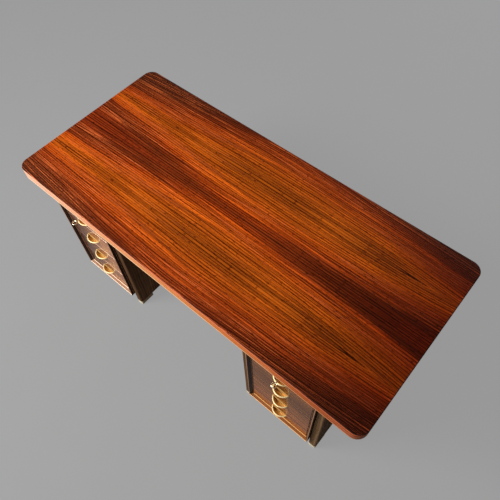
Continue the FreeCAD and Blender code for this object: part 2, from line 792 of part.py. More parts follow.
make_top_panel()
make_top_edge_frame()
make_panels_and_feet()
make_top_battens()
make_modesty_panel()
for pedestal_name, pedestal_side in SIDES.items():
    make_case(pedestal_name, pedestal_side)
    make_drawers(pedestal_name, pedestal_side)
doc.recompute()
check_document()

os.makedirs("parts", exist_ok=True)
for node in nodes:
    node.Shape.exportStep(f"parts/{node.Label}.step")
print(len(nodes), "nodes written")
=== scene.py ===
import bpy
from mathutils import Matrix, Vector


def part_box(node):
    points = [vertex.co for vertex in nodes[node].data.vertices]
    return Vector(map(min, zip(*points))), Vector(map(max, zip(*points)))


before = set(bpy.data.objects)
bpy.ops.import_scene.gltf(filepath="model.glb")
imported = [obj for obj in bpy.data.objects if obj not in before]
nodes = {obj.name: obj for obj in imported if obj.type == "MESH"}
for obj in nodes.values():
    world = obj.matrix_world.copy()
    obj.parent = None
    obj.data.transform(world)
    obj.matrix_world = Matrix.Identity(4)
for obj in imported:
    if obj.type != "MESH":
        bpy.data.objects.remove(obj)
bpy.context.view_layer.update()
scene = bpy.context.scene
print("frame loaded:", len(nodes), "nodes")


def paint(red, green, blue):  # 0-255 screen colour to linear
    def linear(part):
        part /= 255
        return part / 12.92 if part <= 0.04045 else ((part + 0.055) / 1.055) ** 2.4
    return (linear(red), linear(green), linear(blue), 1.0)


# shader helpers: values are numbers or sockets

def newMaterial(name):
    material = bpy.data.materials.new(name)
    material.use_nodes = True
    tree = material.node_tree
    tree.nodes.clear()
    shader = tree.nodes.new("ShaderNodeBsdfPrincipled")
    out = tree.nodes.new("ShaderNodeOutputMaterial")
    tree.links.new(shader.outputs["BSDF"], out.inputs["Surface"])
    return material, tree, shader


def feed(tree, socket, value):
    if isinstance(value, bpy.types.NodeSocket):
        tree.links.new(value, socket)
    else:
        socket.default_value = value


def calc(tree, operation, *values):
    made = tree.nodes.new("ShaderNodeMath")
    made.operation = operation
    for socket, value in zip(made.inputs, values):
        feed(tree, socket, value)
    return made.outputs[0]


def plus(tree, a, b):
    return calc(tree, "ADD", a, b)


def minus(tree, a, b):
    return calc(tree, "SUBTRACT", a, b)


def times(tree, a, b):
    return calc(tree, "MULTIPLY", a, b)


def timesPlus(tree, a, b, c):
    return calc(tree, "MULTIPLY_ADD", a, b, c)


def larger(tree, a, b):
    return calc(tree, "MAXIMUM", a, b)


def apart(tree, a, b):
    return calc(tree, "ABSOLUTE", minus(tree, a, b))


def spread(tree, value, low, high, newLow=0.0, newHigh=1.0):  # smooth step between two levels
    made = tree.nodes.new("ShaderNodeMapRange")
    made.interpolation_type = "SMOOTHSTEP"
    for key, item in (("Value", value), ("From Min", low), ("From Max", high),
                      ("To Min", newLow), ("To Max", newHigh)):
        feed(tree, made.inputs[key], item)
    return made.outputs[0]


noiseMiddle = 0.5  # the level that noise swings about


def grainNoise(tree, place, detail=3.0, rough=0.55):
    joined = tree.nodes.new("ShaderNodeCombineXYZ")
    for socket, value in zip(joined.inputs, place):
        feed(tree, socket, value)
    made = tree.nodes.new("ShaderNodeTexNoise")
    made.inputs["Scale"].default_value = 1.0
    made.inputs["Detail"].default_value = detail
    made.inputs["Roughness"].default_value = rough
    made.inputs["Distortion"].default_value = 0.0
    tree.links.new(joined.outputs[0], made.inputs["Vector"])
    return made.outputs["Fac"]


def ramp(tree, value, stops):
    made = tree.nodes.new("ShaderNodeValToRGB")
    bar = made.color_ramp
    bar.interpolation = "B_SPLINE"
    while len(bar.elements) < len(stops):
        bar.elements.new(0.5)
    for element, (place, colour) in zip(bar.elements, stops):
        element.position = place
        element.color = colour
    tree.links.new(value, made.inputs[0])
    return made.outputs[0]


def blendColour(tree, share, a, b, kind="MIX"):
    made = tree.nodes.new("ShaderNodeMix")
    made.data_type = "RGBA"
    made.blend_type = kind
    for number, value in ((0, share), (6, a), (7, b)):  # the sockets a colour mix uses
        feed(tree, made.inputs[number], value)
    return made.outputs[2]


def objectPlace(tree):
    coords = tree.nodes.new("ShaderNodeTexCoord")
    parts = tree.nodes.new("ShaderNodeSeparateXYZ")
    tree.links.new(coords.outputs["Object"], parts.inputs[0])
    return parts.outputs[0], parts.outputs[1], parts.outputs[2]


def addBump(tree, shader, height, strength, depth):
    bump = tree.nodes.new("ShaderNodeBump")
    bump.inputs["Strength"].default_value = strength
    bump.inputs["Distance"].default_value = depth
    tree.links.new(height, bump.inputs["Height"])
    tree.links.new(bump.outputs[0], shader.inputs["Normal"])


def mixShaders(tree, share, first, second, out):
    mix = tree.nodes.new("ShaderNodeMixShader")
    for socket, source in zip(mix.inputs, (share, first.outputs[0], second.outputs[0])):
        tree.links.new(source, socket)
    tree.links.new(mix.outputs[0], out.inputs["Surface"])


# camera at the photograph's place

camera = {
    "place": (0.9001, -0.8619, 2.4232),
    "right": (0.7602, 0.6491, -0.0280),
    "ahead": (-0.3639, 0.3898, -0.8459),
    "lens": 37.36,
    "sensor": 36.0,
}


def makeCamera():
    data = bpy.data.cameras.new("deskCamera")
    data.lens = camera["lens"]
    data.sensor_width = camera["sensor"]
    item = bpy.data.objects.new("deskCamera", data)
    scene.collection.objects.link(item)
    right = Vector(camera["right"]).normalized()
    back = -Vector(camera["ahead"]).normalized()
    up = back.cross(right).normalized()
    right = up.cross(back)
    turn = Matrix((right, up, back)).transposed().to_4x4()
    item.matrix_world = Matrix.Translation(camera["place"]) @ turn
    scene.camera = item


makeCamera()
print("camera set")


# studio: grey paper, a big soft lamp from the front left, a weak one in front and one behind

studio = {
    "floorColour": paint(156, 156, 156),  # floor and backdrop as the camera sees them
    "floorGlow": 0.92,  # share of that plain colour, the rest is lit paper with the desk's shadow
    "floorMirrored": 0.55,
    "floorSize": 14.0,
    "floorDrop": 0.0005,
    "paperRough": 0.9,
    "paperDark": (0.50, 0.50, 0.50, 1.0), "paperPale": (0.53, 0.53, 0.53, 1.0),
    "mottleScale": 3.0, "mottleFrom": 0.3, "mottleTo": 0.7,
    "backdropMirrored": 0.30,
    "worldColour": (0.045, 0.045, 0.046, 1.0),
    "lamps": [
        {"name": "keyLamp", "place": (-1.7, -2.3, 3.0), "aim": (-0.1, 0.0, 0.6),
         "size": 1.5, "power": 231.0},
        {"name": "frontLamp", "place": (-0.3, -3.2, 1.2), "aim": (0.0, 0.0, 0.4),
         "size": 2.4, "power": 40.0},
        {"name": "backLamp", "place": (0.3, 3.4, 1.65), "aim": (0.0, 0.0, 0.35),
         "size": 3.2, "power": 38.0},
    ],
}


def seenRays(tree, mirrored):  # rays that show the plain colour, and its strength, dimmed where mirrored
    rays = tree.nodes.new("ShaderNodeLightPath").outputs
    strength = timesPlus(tree, rays["Is Camera Ray"], 1.0 - mirrored, mirrored)
    seen = larger(tree, rays["Is Camera Ray"], rays["Is Glossy Ray"])
    return larger(tree, seen, rays["Is Transmission Ray"]), strength


def makeFloor():
    size = studio["floorSize"]
    corners = [(-size, -size, 0), (size, -size, 0), (size, size, 0), (-size, size, 0)]
    mesh = bpy.data.meshes.new("studioFloor")
    mesh.from_pydata(corners, [], [(0, 1, 2, 3)])
    floor = bpy.data.objects.new("studioFloor", mesh)
    scene.collection.objects.link(floor)
    floor.location.z = -studio["floorDrop"]
    material, tree, shader = newMaterial("floorPaper")
    shader.inputs["Roughness"].default_value = studio["paperRough"]
    x, y, z = objectPlace(tree)
    scale = studio["mottleScale"]
    mottle = grainNoise(tree, (times(tree, x, scale), times(tree, y, scale), z))
    mottle = spread(tree, mottle, studio["mottleFrom"], studio["mottleTo"])
    paper = blendColour(tree, mottle, studio["paperDark"], studio["paperPale"])
    tree.links.new(paper, shader.inputs["Base Color"])
    glow = tree.nodes.new("ShaderNodeEmission")
    glow.inputs["Color"].default_value = studio["floorColour"]
    seen, strength = seenRays(tree, studio["floorMirrored"])
    tree.links.new(strength, glow.inputs["Strength"])
    share = times(tree, seen, studio["floorGlow"])
    mixShaders(tree, share, shader, glow, tree.nodes["Material Output"])
    mesh.materials.append(material)


def makeLamps():
    for lamp in studio["lamps"]:
        data = bpy.data.lights.new(lamp["name"], "AREA")
        data.shape = "SQUARE"
        data.size = lamp["size"]
        data.energy = lamp["power"]
        item = bpy.data.objects.new(lamp["name"], data)
        scene.collection.objects.link(item)
        item.location = lamp["place"]
        aim = Vector(lamp["aim"]) - Vector(lamp["place"])
        item.rotation_euler = aim.to_track_quat("-Z", "Y").to_euler()


def makeWorld():
    world = bpy.data.worlds.new("studioWorld")
    world.use_nodes = True
    tree = world.node_tree
    ambient = tree.nodes["Background"]
    ambient.inputs["Color"].default_value = studio["worldColour"]
    backdrop = tree.nodes.new("ShaderNodeBackground")
    backdrop.inputs["Color"].default_value = studio["floorColour"]
    seen, strength = seenRays(tree, studio["backdropMirrored"])
    tree.links.new(strength, backdrop.inputs["Strength"])
    mixShaders(tree, seen, ambient, backdrop, tree.nodes["World Output"])
    scene.world = world


makeFloor()
makeLamps()
makeWorld()
scene.view_settings.view_transform = "Standard"
print("studio lit")


# rosewood: growth bands, rings, dark veins and streaks, pale lines and open pores along the grain

grainLayers = {  # each kind of line is noise of its own, drawn out along the grain
    "band": {"stretch": 0.8, "shift": 0.0, "detail": 2.0, "low": 0.42, "high": 0.60},
    "wander": {"stretch": 0.35, "shift": 1.3, "detail": 2.0},
    "broken": {"stretch": 4.0, "shift": 2.2, "detail": 1.0, "low": 0.25, "high": 0.55},
    "vein": {"stretch": 0.6, "shift": 3.1, "detail": 2.0},
    "veinPatch": {"stretch": 1.3, "shift": 5.7, "detail": 1.0, "low": 0.40, "high": 0.58},
    "streak": {"stretch": 2.6, "shift": 8.4, "detail": 1.0, "low": 0.485, "high": 0.525},
    "thread": {"stretch": 3.8, "shift": 9.6, "detail": 1.0, "low": 0.49, "high": 0.53},
    "pale": {"stretch": 1.4, "shift": 10.2, "detail": 1.0},
    "palePatch": {"stretch": 2.4, "shift": 11.1, "detail": 1.0, "low": 0.36, "high": 0.60},
    "pore": {"shift": 12.9, "detail": 2.0, "low": 0.56, "high": 0.68},
    "sheen": {"stretch": 2.0, "shift": 17.3, "detail": 3.0, "low": 0.2, "high": 0.8},
}
rosewoodLook = {  # counts are per metre across the grain
    "seed": 7.0,
    "bandCount": 26.0, "bandShare": 0.46, "bandTint": (0.52, 0.46, 0.42, 1.0),
    "ringCount": 40.0, "ringShare": 0.15, "fineCount": 96.0, "fineShare": 1.0,
    "ringTint": (0.14, 0.11, 0.11, 1.0), "wanderCount": 10.0, "wanderReach": 3.0,
    "lateFrom": 0.35, "lateTo": 0.90, "lateEnd": 0.93,  # the dark part of a ring
    "brokenCount": 0.8, "brokenLeast": 0.3,  # patches for each ring, and the weakest
    "veinCount": 110.0, "veinWidth": 0.05, "veinShare": 0.4, "veinTint": (0.30, 0.28, 0.26, 1.0),
    "veinPatchCount": 27.5,
    "streakCount": 210.0, "streakDark": 0.45, "threadCount": 315.0, "threadDark": 0.65,
    "darkTint": (0.34, 0.28, 0.28, 1.0),
    "paleCount": 165.0, "paleWidth": 0.045, "paleShare": 0.75, "paleTint": paint(216, 104, 50),
    "palePatchCount": 99.0,
    "poreStretch": 14.0, "poreCount": 420.0, "poreShare": 0.7, "poreTint": (0.42, 0.34, 0.30, 1.0),
    "rough": 0.26, "smoother": 0.04, "rougher": 0.06, "matteRough": 0.6, "sheenCount": 105.0,
    "bump": 0.04, "bumpDepth": 0.0004, "streakHeight": 0.4,
    "ior": 1.5, "gloss": 0.25, "coat": 0.03, "coatRough": 0.08,
    "paintedShade": None,  # painted shade: where the colour darkens along one axis, and by what tint
}


def rosewood(name, look, figure):
    material, tree, shader = newMaterial(name)
    grain = figure(tree, look)

    def lines(kind, count, stretch=None):
        layer = grainLayers[kind]
        place = (times(tree, grain["along"], stretch or layer["stretch"]),
                 times(tree, grain["across"], count), look["seed"] + layer["shift"])
        return grainNoise(tree, place, layer["detail"])

    def level(kind, noise, least=0.0, most=1.0):
        return spread(tree, noise, grainLayers[kind]["low"], grainLayers[kind]["high"], least, most)

    def ridge(noise, width):  # a thin line wherever the noise passes its middle
        return spread(tree, apart(tree, noise, noiseMiddle), 0.0, width, 1.0, 0.0)

    def marked(colour, mark, share, tint, kind="MULTIPLY"):
        mark = times(tree, mark, grain["marks"])
        return blendColour(tree, times(tree, mark, share), colour, tint, kind)

    bands = level("band", lines("band", look["bandCount"]))
    colour = marked(grain["body"], bands, look["bandShare"], look["bandTint"])
    wander = times(tree, lines("wander", look["wanderCount"]), look["wanderReach"])
    for count, share in ((look["ringCount"], look["ringShare"]), (look["fineCount"], look["fineShare"])):
        ring = calc(tree, "FRACT", timesPlus(tree, grain["across"], count, wander))
        late = times(tree, spread(tree, ring, look["lateFrom"], look["lateTo"]),
                     spread(tree, ring, 1.0, look["lateEnd"]))
        broken = level("broken", lines("broken", count * look["brokenCount"]), look["brokenLeast"])
        colour = marked(colour, times(tree, late, broken), share, look["ringTint"])
    veins = times(tree, ridge(lines("vein", look["veinCount"]), look["veinWidth"]),
                  level("veinPatch", lines("veinPatch", look["veinPatchCount"])))
    colour = marked(colour, veins, look["veinShare"], look["veinTint"])
    streaks = lines("streak", look["streakCount"])
    colour = marked(colour, level("streak", streaks), look["streakDark"], look["darkTint"])
    threads = level("thread", lines("thread", look["threadCount"]))
    colour = marked(colour, threads, look["threadDark"], look["darkTint"])
    pale = times(tree, ridge(lines("pale", look["paleCount"]), look["paleWidth"]),
                 level("palePatch", lines("palePatch", look["palePatchCount"])))
    pale = times(tree, pale, grain["pale"])
    colour = marked(colour, pale, look["paleShare"], look["paleTint"], "MIX")
    pores = level("pore", lines("pore", look["poreCount"], look["poreStretch"]))
    colour = marked(colour, pores, look["poreShare"], look["poreTint"])
    # painted shade: the colour darkens along one axis
    if look["paintedShade"]:
        colour = blendColour(tree, grain["paintedShade"], colour, look["paintedShade"]["tint"], "MULTIPLY")
    tree.links.new(colour, shader.inputs["Base Color"])

    rough = level("sheen", lines("sheen", look["sheenCount"]),
                  look["rough"] - look["smoother"], look["rough"] + look["rougher"])
    rough = timesPlus(tree, grain["matte"], look["matteRough"], rough)
    tree.links.new(rough, shader.inputs["Roughness"])
    height = minus(tree, times(tree, streaks, look["streakHeight"]), pores)
    addBump(tree, shader, times(tree, height, grain["relief"]), look["bump"], look["bumpDepth"])
    shader.inputs["IOR"].default_value = look["ior"]
    shader.inputs["Specular IOR Level"].default_value = look["gloss"]
    shader.inputs["Coat Weight"].default_value = look["coat"]
    shader.inputs["Coat Roughness"].default_value = look["coatRough"]
    return material


# share of painted shade at each place, along one axis
def paintedShadeShare(tree, look, places):
    paintedShade = look["paintedShade"]
    return spread(tree, places[paintedShade["axis"]], paintedShade["from"], paintedShade["to"]) if paintedShade else 0.0


# paler lipping round the edge of the top: along the front its tone goes from peach at the left to dark
# orange, painted light and shade, and its arrises carry painted highlights

topRounding = 0.005  # height of the rounded arris of the top
highlightCore = 0.4  # share of a painted highlight band or line that is at full strength
lippingLook = {
    "tones": [(0.0, paint(212, 166, 138)), (0.25, paint(200, 136, 92)), (0.5, paint(190, 114, 50)),
              (0.75, paint(182, 88, 22)), (1.0, paint(126, 48, 8))],
    "upperHighlightTones": [(0.0, paint(234, 184, 154)), (0.4, paint(238, 142, 92)), (1.0, paint(170, 70, 26))],
    "lowerHighlightTones": [(0.0, paint(236, 204, 180)), (0.5, paint(240, 186, 126)), (1.0, paint(176, 84, 36))],
    "low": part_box("top_edge_frame")[0].z, "high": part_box("top_panel")[1].z - topRounding,
    "halfWidth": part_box("top_panel")[1].x, "front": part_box("top_panel")[0].y,
    "turnFrom": 0.01, "turnTo": 0.06, "plainShare": 0.66,  # behind the front corners it has one tone
    "highlightBand": 0.0150, "marks": 0.3, "matte": 0.5,
}
edgeLook = {**rosewoodLook, **lippingLook, "seed": 31.0, "paleTint": paint(252, 206, 160), "gloss": 0.15}


def lippingFigure(tree, look):
    x, y, z = objectPlace(tree)
    # painted light and shade: the tone runs from lit peach at the left end to shaded dark orange at the
    # right
    share = timesPlus(tree, x, 0.5 / look["halfWidth"], 0.5)  # 0 at the left end, 1 at the right
    turned = spread(tree, y, look["front"] + look["turnFrom"], look["front"] + look["turnTo"])
    share = timesPlus(tree, turned, minus(tree, look["plainShare"], share), share)
    # painted highlights along the upper and lower arris
    band, core = look["highlightBand"], look["highlightBand"] * highlightCore
    upper = spread(tree, z, look["high"] - band, look["high"] - core)
    lower = spread(tree, z, look["low"] + band, look["low"] + core)
    body = blendColour(tree, upper, ramp(tree, share, look["tones"]), ramp(tree, share, look["upperHighlightTones"]))
    body = blendColour(tree, lower, body, ramp(tree, share, look["lowerHighlightTones"]))
    return {"along": plus(tree, x, y), "across": z, "body": body, "pale": 1.0, "relief": 0.0,
            "marks": look["marks"], "matte": look["matte"]}


# the top: two book-matched leaves, each with a long lens of growth rings

topLook = {
    **rosewoodLook, "coat": 0.0, "gloss": 0.15,
    "poreStretch": 46.0, "poreCount": 260.0, "poreShare": 1.0, "poreTint": (0.36, 0.27, 0.23, 1.0),
    # the seam between the leaves, and the wavering axis of each lens
    "seamY": 0.0105, "leafSoft": 0.05, "leafAxis": 0.200, "axisSoft": 0.02, "axisRound": 0.00001,
    "waver": 0.020, "driftAlong": 1.4, "driftAcross": 5.0, "driftSeed": 2.0, "driftDetail": 2.0,
    # how the rings close and bend towards the ends
    "ringSpan": 0.34, "seamStretch": 0.80, "edgeStretch": 0.42, "stretchSoft": 0.18,
    "lensBend": 0.012, "tipBend": 0.26, "tipStart": 0.55,
    "bendFrom": 0.12, "bendTo": 0.03, "bendShare": 0.5, "swell": 0.026, "swellAt": 0.09,
    # how the colour zones move along the desk
    "leftStart": -0.10, "leftShift": 0.08, "cornerShift": 0.07,
    "rightShift": {"from": 0.4, "to": 0.9, "left": 0.0, "right": 0.03},
    "frontShift": {"from": -0.2, "to": 0.6, "left": 0.0, "right": 0.025},
    "seamShift": {"from": 0.35, "to": 0.9, "left": 0.0, "right": -0.045},
    "towardsSeam": [
        (0.00, paint(185, 89, 16)), (0.10, paint(207, 99, 17)), (0.24, paint(221, 103, 18)),
        (0.34, paint(233, 106, 20)), (0.46, paint(219, 91, 18)), (0.53, paint(187, 71, 16)),
        (0.60, paint(152, 61, 18)), (0.72, paint(128, 51, 16)), (0.86, paint(148, 54, 16)),
        (1.00, paint(158, 58, 16)),
    ],
    "towardsEdge": [
        (0.00, paint(185, 89, 16)), (0.12, paint(211, 101, 17)), (0.26, paint(221, 101, 18)),
        (0.40, paint(209, 87, 18)), (0.52, paint(187, 73, 18)), (0.62, paint(152, 61, 20)),
        (0.76, paint(118, 53, 24)), (0.90, paint(104, 49, 26)), (1.00, paint(97, 47, 26)),
    ],
    "fray": 0.36, "frayAlong": 0.8, "frayAcross": 60.0, "fraySeed": 6.0,
    "frayDetail": 4.0, "frayRough": 0.65,
    # dark strips along the front and back edges, and painted shade over the front leaf
    "stripFrom": 0.295, "stripTo": 0.375, "stripAndShadeTint": (0.58, 0.56, 0.68, 1.0),
    "frontStrip": {"from": -0.5, "to": 0.6, "left": 0.55, "right": 0.45},
    "backStrip": {"from": -0.8, "to": 0.8, "left": 0.80, "right": 0.08},
    "paintedLeafShade": {"from": -0.6, "to": 0.3, "left": 0.052, "right": 0.26}, "shadeDepth": 0.25,
    # pale lines are fewer inside the lens and leave the seam free
    "paleFrom": 0.15, "paleTo": 0.45, "paleLeast": 0.25, "seamFree": 0.02, "seamFull": 0.07,
    # heights over the lower end of the rounding: change to lipping, start and end of the flat face
    "edgeSoft": 0.0008, "flatFrom": 0.0047, "flatTo": 0.00495,
    # painted shade: the top darkens towards the right end
    "paintedShade": {"axis": 0, "from": 0.30, "to": 0.92, "tint": (0.46, 0.34, 0.34, 1.0)},
}


def topFigure(tree, look):
    x, y, z = places = objectPlace(tree)

    def alongDesk(key):  # a level that changes from left to right
        span = look[key]
        return spread(tree, x, span["from"], span["to"], span["left"], span["right"])

    leaf = apart(tree, y, look["seamY"])
    frontLeaf = spread(tree, y, 0.0, -look["leafSoft"])
    backLeaf = spread(tree, y, 0.0, look["leafSoft"])
    drift = grainNoise(tree, (times(tree, x, look["driftAlong"]), times(tree, y, look["driftAcross"]),
                              look["driftSeed"]), look["driftDetail"])
    drift = times(tree, minus(tree, drift, noiseMiddle), look["waver"])
    offset = plus(tree, minus(tree, leaf, look["leafAxis"]), drift)
    outside = spread(tree, offset, -look["axisSoft"], look["axisSoft"])
    near = calc(tree, "SQRT", timesPlus(tree, offset, offset, look["axisRound"]))
    # the rings open in the middle of the desk and close towards both ends
    squareX = times(tree, x, x)
    soft = look["stretchSoft"]
    reach = minus(tree, calc(tree, "SQRT", plus(tree, squareX, soft * soft)), soft)
    gain = timesPlus(tree, outside, look["edgeStretch"] - look["seamStretch"], look["seamStretch"])
    stretch = timesPlus(tree, reach, gain, 1.0)
    tip = larger(tree, minus(tree, x, look["tipStart"]), 0.0)
    bend = timesPlus(tree, times(tree, tip, tip), look["tipBend"], times(tree, squareX, look["lensBend"]))
    ring = timesPlus(tree, near, stretch, bend)
    # the zones move at both ends, and more in the back left corner and on the front leaf
    left = larger(tree, minus(tree, look["leftStart"], x), 0.0)
    leftGain = timesPlus(tree, times(tree, outside, backLeaf), look["cornerShift"], look["leftShift"])
    ring = timesPlus(tree, left, leftGain, ring)
    edgeShift = timesPlus(tree, frontLeaf, alongDesk("frontShift"), alongDesk("rightShift"))
    ring = timesPlus(tree, outside, edgeShift, ring)
    seamShift = times(tree, frontLeaf, alongDesk("seamShift"))
    ring = timesPlus(tree, minus(tree, 1.0, outside), seamShift, ring)
    # the fine lines swell less than the colour zones and run straight along the seam
    swell = times(tree, spread(tree, near, 0.0, look["swellAt"]),
                  spread(tree, near, look["leafAxis"], look["swellAt"], 0.0, look["swell"]))
    inner = timesPlus(tree, reach, swell, near)
    outer = timesPlus(tree, times(tree, reach, look["edgeStretch"]), near, near)
    across = timesPlus(tree, outside, minus(tree, outer, inner), inner)
    bendShare = spread(tree, near, look["bendFrom"], look["bendTo"], 0.0, look["bendShare"])
    across = timesPlus(tree, bend, bendShare, across)
    # colour by zone, with frayed borders
    fray = grainNoise(tree, (times(tree, x, look["frayAlong"]), times(tree, across, look["frayAcross"]),
                             look["fraySeed"]), look["frayDetail"], look["frayRough"])
    zone = calc(tree, "DIVIDE", ring, look["ringSpan"])
    zone = timesPlus(tree, minus(tree, fray, noiseMiddle), look["fray"], zone)
    body = blendColour(tree, outside, ramp(tree, zone, look["towardsSeam"]),
                       ramp(tree, zone, look["towardsEdge"]))
    # dark strips along the front and back edges, and painted shade over the front leaf
    front = times(tree, spread(tree, y, -look["stripFrom"], -look["stripTo"]), alongDesk("frontStrip"))
    back = times(tree, spread(tree, y, look["stripFrom"], look["stripTo"]), alongDesk("backStrip"))
    frontLeafShade = times(tree, spread(tree, y, 0.0, -look["shadeDepth"]), alongDesk("paintedLeafShade"))
    stripsAndShade = larger(tree, larger(tree, front, back), frontLeafShade)
    body = blendColour(tree, stripsAndShade, body, look["stripAndShadeTint"], "MULTIPLY")
    pale = times(tree, spread(tree, zone, look["paleFrom"], look["paleTo"], look["paleLeast"]),
                 spread(tree, leaf, look["seamFree"], look["seamFull"]))
    # the veneer turns over the arris, and below it the upright edge shows the lipping
    bottom = lippingLook["high"]
    edge = spread(tree, z, bottom + look["edgeSoft"], bottom - look["edgeSoft"])
    flat = spread(tree, z, bottom + look["flatFrom"], bottom + look["flatTo"])
    lipping = lippingFigure(tree, lippingLook)

    def swap(onTop, onEdge):
        return timesPlus(tree, edge, minus(tree, onEdge, onTop), onTop)

    return {"along": swap(x, lipping["along"]), "across": swap(across, lipping["across"]),
            "body": blendColour(tree, edge, body, lipping["body"]), "pale": pale,
            "relief": flat, "matte": minus(tree, 1.0, flat),
            "marks": swap(1.0, lipping["marks"]), "paintedShade": swap(paintedShadeShare(tree, look, places), 0.0)}


# straight-grained boards: the grain runs along one axis and wanders a little, and some arrises carry
# painted highlight lines

def boardFigure(axis, paintedHighlights=None):
    def figure(tree, look):
        places = objectPlace(tree)
        along = places[axis]
        first, second = [place for number, place in enumerate(places) if number != axis]
        drift = grainNoise(tree, (times(tree, along, look["driftAlong"]),
                                  times(tree, first, look["driftAcross"]),
                                  times(tree, second, look["driftAcross"])), look["driftDetail"])
        across = timesPlus(tree, second, look["skew"], first)
        across = timesPlus(tree, drift, look["waver"], across)
        tone = grainNoise(tree, (times(tree, along, look["toneStretch"]),
                                 times(tree, across, look["toneCount"]),
                                 look["seed"] + look["toneShift"]), look["toneDetail"])
        body = ramp(tree, tone, look["tones"])
        marks = 1.0
        if paintedHighlights:
            paintedLines = paintedHighlights(tree, look, places)
            body = blendColour(tree, paintedLines, body, look["highlightTint"])
            marks = minus(tree, 1.0, paintedLines)
        return {"along": along, "across": across, "body": body, "pale": 1.0, "relief": 1.0,
                "marks": marks, "matte": 0.0, "paintedShade": paintedShadeShare(tree, look, places)}
    return figure


def lineAt(tree, look, place, level):  # a thin painted highlight line where a coordinate passes a level
    return spread(tree, apart(tree, place, level), look["highlightWidth"], look["highlightWidth"] * highlightCore)


def frontArrisHighlights(tree, look, places):  # painted highlight lines on the upper and lower arris of every drawer front
    low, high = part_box("left_drawer_4_front")
    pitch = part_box("left_drawer_3_front")[0].z - low.z
    step = calc(tree, "WRAP", places[2], low.z + pitch, low.z)
    paintedLines = larger(tree, lineAt(tree, look, step, low.z), lineAt(tree, look, step, high.z))
    onFace = spread(tree, places[1], low.y + look["faceEnd"], low.y + look["faceFull"])
    return times(tree, paintedLines, onFace)


def caseEdgeHighlights(tree, look, places):  # painted highlight lines on the lip and on the inner end of the bevel
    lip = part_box("left_case_bottom")[0].y
    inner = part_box("left_drawer_4_front")[0].y
    return larger(tree, lineAt(tree, look, places[1], lip), lineAt(tree, look, places[1], inner))


boardLook = {
    **rosewoodLook, "coat": 0.0, "skew": 0.83,
    "driftAlong": 1.8, "driftAcross": 3.0, "driftDetail": 2.0,
    "toneStretch": 0.5, "toneShift": 21.0, "toneDetail": 2.0,
}
panelLook = {
    **boardLook, "seed": 11.0, "waver": 0.05, "toneCount": 12.0, "rough": 0.85, "gloss": 0.03,
    "tones": [(0.25, paint(100, 76, 52)), (0.5, paint(118, 92, 64)), (0.75, paint(132, 104, 74))],
    "ringShare": 0.25, "fineShare": 0.40, "streakDark": 0.35, "threadDark": 0.30,
    "paleShare": 0.35, "paleTint": paint(120, 86, 54),
    # painted shade: the panels darken towards the left
    "paintedShade": {"axis": 0, "from": 0.72, "to": 0.30, "tint": (0.66, 0.58, 0.56, 1.0)},
}
frontLook = {
    **panelLook, "seed": 17.0, "waver": 0.03, "toneCount": 20.0, "rough": 0.16, "gloss": 0.15,
    "coat": 0.02, "bump": 0.0,
    "tones": [(0.25, paint(140, 76, 33)), (0.5, paint(164, 92, 41)), (0.75, paint(180, 106, 49))],
    "ringShare": 0.35, "fineShare": 0.35, "paleTint": paint(172, 108, 66),
    "highlightTint": paint(158, 108, 76), "highlightWidth": 0.0010, "faceFull": 0.001, "faceEnd": 0.003,
    # painted shade under the top: the fronts darken towards the upper drawers
    "paintedShade": {"axis": 2, "from": 0.10, "to": 0.42, "tint": (0.50, 0.58, 0.62, 1.0)},
}
# a paler copy of the front wood for the left pedestal, with paler highlight lines: painted light
leftFrontLook = {
    **frontLook, "seed": 19.0,
    "tones": [(0.25, paint(154, 102, 70)), (0.5, paint(170, 116, 80)), (0.75, paint(186, 132, 93))],
    "ringShare": 0.2, "fineShare": 0.2, "poreShare": 0.3, "paleTint": paint(206, 150, 112),
    "highlightTint": paint(228, 194, 168), "highlightWidth": 0.0016,
    # painted shadow over the left part of the fronts
    "paintedShade": {"axis": 0, "from": -0.47, "to": -0.67, "tint": (0.24, 0.20, 0.20, 1.0)},
}
caseLook = {
    **panelLook, "seed": 23.0, "toneCount": 16.0, "rough": 0.26, "gloss": 0.12,
    "tones": [(0.25, paint(140, 78, 26)), (0.5, paint(164, 94, 32)), (0.75, paint(180, 108, 40))],
    "ringShare": 0.3, "fineShare": 0.3, "paleTint": paint(206, 136, 66),
    "highlightTint": paint(236, 176, 104), "highlightWidth": 0.0018, "paintedShade": None,
}
# a paler copy of the case wood for the left pedestal: painted light
litLeftCaseLook = {
    **caseLook, "seed": 25.0, "paleTint": paint(222, 178, 146), "highlightTint": paint(248, 222, 192),
    "tones": [(0.25, paint(166, 120, 92)), (0.5, paint(182, 136, 106)), (0.75, paint(196, 150, 120))],
}
# a far darker copy of the case wood for the upright sides: painted shade
shadedUprightLook = {
    **caseLook, "seed": 27.0, "gloss": 0.05, "paleTint": paint(78, 48, 30),
    "tones": [(0.25, paint(40, 25, 16)), (0.5, paint(52, 32, 21)), (0.75, paint(64, 40, 26))],
    "highlightTint": paint(136, 98, 74), "highlightWidth": 0.0015,
}
innerLook = {
    **boardLook, "seed": 41.0, "waver": 0.04, "toneCount": 14.0, "rough": 0.42, "gloss": 0.3,
    "tones": [(0.25, paint(176, 132, 84)), (0.5, paint(198, 154, 102)), (0.75, paint(212, 170, 118))],
    "bandShare": 0.2, "ringShare": 0.25, "fineShare": 0.2, "veinShare": 0.3, "streakDark": 0.3,
    "threadDark": 0.15, "poreShare": 0.3, "paleTint": paint(226, 190, 140),
}

